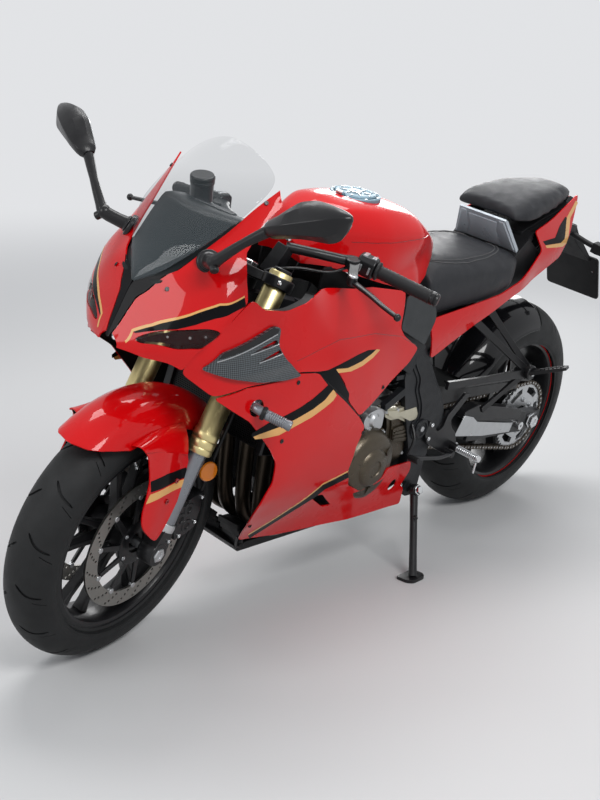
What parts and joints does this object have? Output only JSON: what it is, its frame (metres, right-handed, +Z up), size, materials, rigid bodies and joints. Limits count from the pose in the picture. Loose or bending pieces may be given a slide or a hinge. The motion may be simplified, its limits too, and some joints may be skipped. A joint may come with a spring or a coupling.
{
  "type": "sport motorcycle with full fairing",
  "caption": "Fully faired sport motorcycle that leans on its side stand, with turning bars and wheels, a folding stand and a hinged filler cap.",
  "frame": {"origin": "on the ground, under the centre of the object's box", "axes": "+X to the front of the motorcycle, +Y to its left, the side that it leans to, +Z up"},
  "size_m": [2.0511, 0.8353, 1.1826],
  "materials": {
    "black_plastic": "fine-grained black",
    "cast_black": "satin black on cast aluminium",
    "silver_metal": "satin aluminium",
    "chain_steel": "oiled steel",
    "bronze_cases": "bronze-grey painted castings",
    "header_steel": "heat-browned steel pipe",
    "gold_anodised": "gold anodised",
    "disc_steel": "ground steel",
    "red_paint": "deep red lacquer",
    "tyre_rubber": "black tread rubber",
    "red_tank": "deep red lacquer on steel",
    "lamp_glass": "clear lamp lens",
    "frame_black": "satin black on steel",
    "seat_cover": "grained black cover with stitching",
    "seat_trim_silver": "silver painted plastic",
    "carbon": "woven black fibre under lacquer",
    "clear_screen": "clear screen, tinted towards its foot"
  },
  "bodies": {
    "chassis": {"chain_guard": "black_plastic", "chin_spoiler": "black_plastic", "crash_bobbins": "silver_metal", "drive_chain": "chain_steel", "engine_block": "cast_black", "engine_covers": "bronze_cases", "exhaust_system": "header_steel", "fairing_stay": "black_plastic", "fuel_tank": "red_tank", "headlights": "lamp_glass", "lower_fairings": "red_paint", "main_frame": "frame_black", "mirrors": "black_plastic", "nose_cowl": "red_paint", "nose_panel": "black_plastic", "passenger_rests": "cast_black", "passenger_seat": "seat_cover", "plate_holder": "black_plastic", "radiator": "frame_black", "rear_caliper": "cast_black", "rear_hugger": "black_plastic", "rearsets": "cast_black", "rider_seat": "seat_cover", "seat_trim": "seat_trim_silver", "shock_absorber": "silver_metal", "side_fairings": "red_paint", "side_vanes": "carbon", "stand_bosses": "silver_metal", "subframe": "frame_black", "swingarm": "silver_metal", "tail_cowl": "red_paint", "tail_tray": "black_plastic", "tank_side_covers": "black_plastic", "windscreen": "clear_screen"},
    "steering": {"control_levers": "cast_black", "fork_sliders": "silver_metal", "fork_tubes": "gold_anodised", "front_calipers": "cast_black", "front_fender": "red_paint", "handlebars": "cast_black", "triple_clamps": "cast_black"},
    "front_wheel": {"front_discs": "disc_steel", "front_rim": "cast_black", "front_tyre": "tyre_rubber"},
    "rear_wheel": {"rear_disc": "disc_steel", "rear_rim": "cast_black", "rear_sprocket": "disc_steel", "rear_tyre": "tyre_rubber"},
    "side_stand": {"side_stand": "frame_black"},
    "fuel_cap": {"fuel_cap": "silver_metal"}
  },
  "joints": [
    {"name": "steering_turn", "type": "hinge", "parent": "chassis", "child": "steering", "pos_m": [0.70015, -0.12751, 0.28089], "axis": [-0.4147, 0.1423, 0.8988], "range_deg": [-33, 15]},
    {"name": "front_wheel_spin", "type": "hinge", "parent": "steering", "child": "front_wheel", "pos_m": [0.73161, -0.11986, 0.2942], "axis": [-0.1423, 0.9654, -0.2186], "continuous": true},
    {"name": "rear_wheel_spin", "type": "hinge", "parent": "chassis", "child": "rear_wheel", "pos_m": [-0.688, -0.12255, 0.31223], "axis": [0, 0.9877, -0.1564], "continuous": true},
    {"name": "side_stand_swing", "type": "hinge", "parent": "chassis", "child": "side_stand", "pos_m": [-0.143, 0.02066, 0.2064], "axis": [0, 0.9588, 0.284], "range_deg": [0, 100]},
    {"name": "filler_cap_hinge", "type": "hinge", "parent": "chassis", "child": "fuel_cap", "pos_m": [0.171, -0.01333, 1.00181], "axis": [0, 0.9877, -0.1564], "range_deg": [0, 95]}
  ]
}
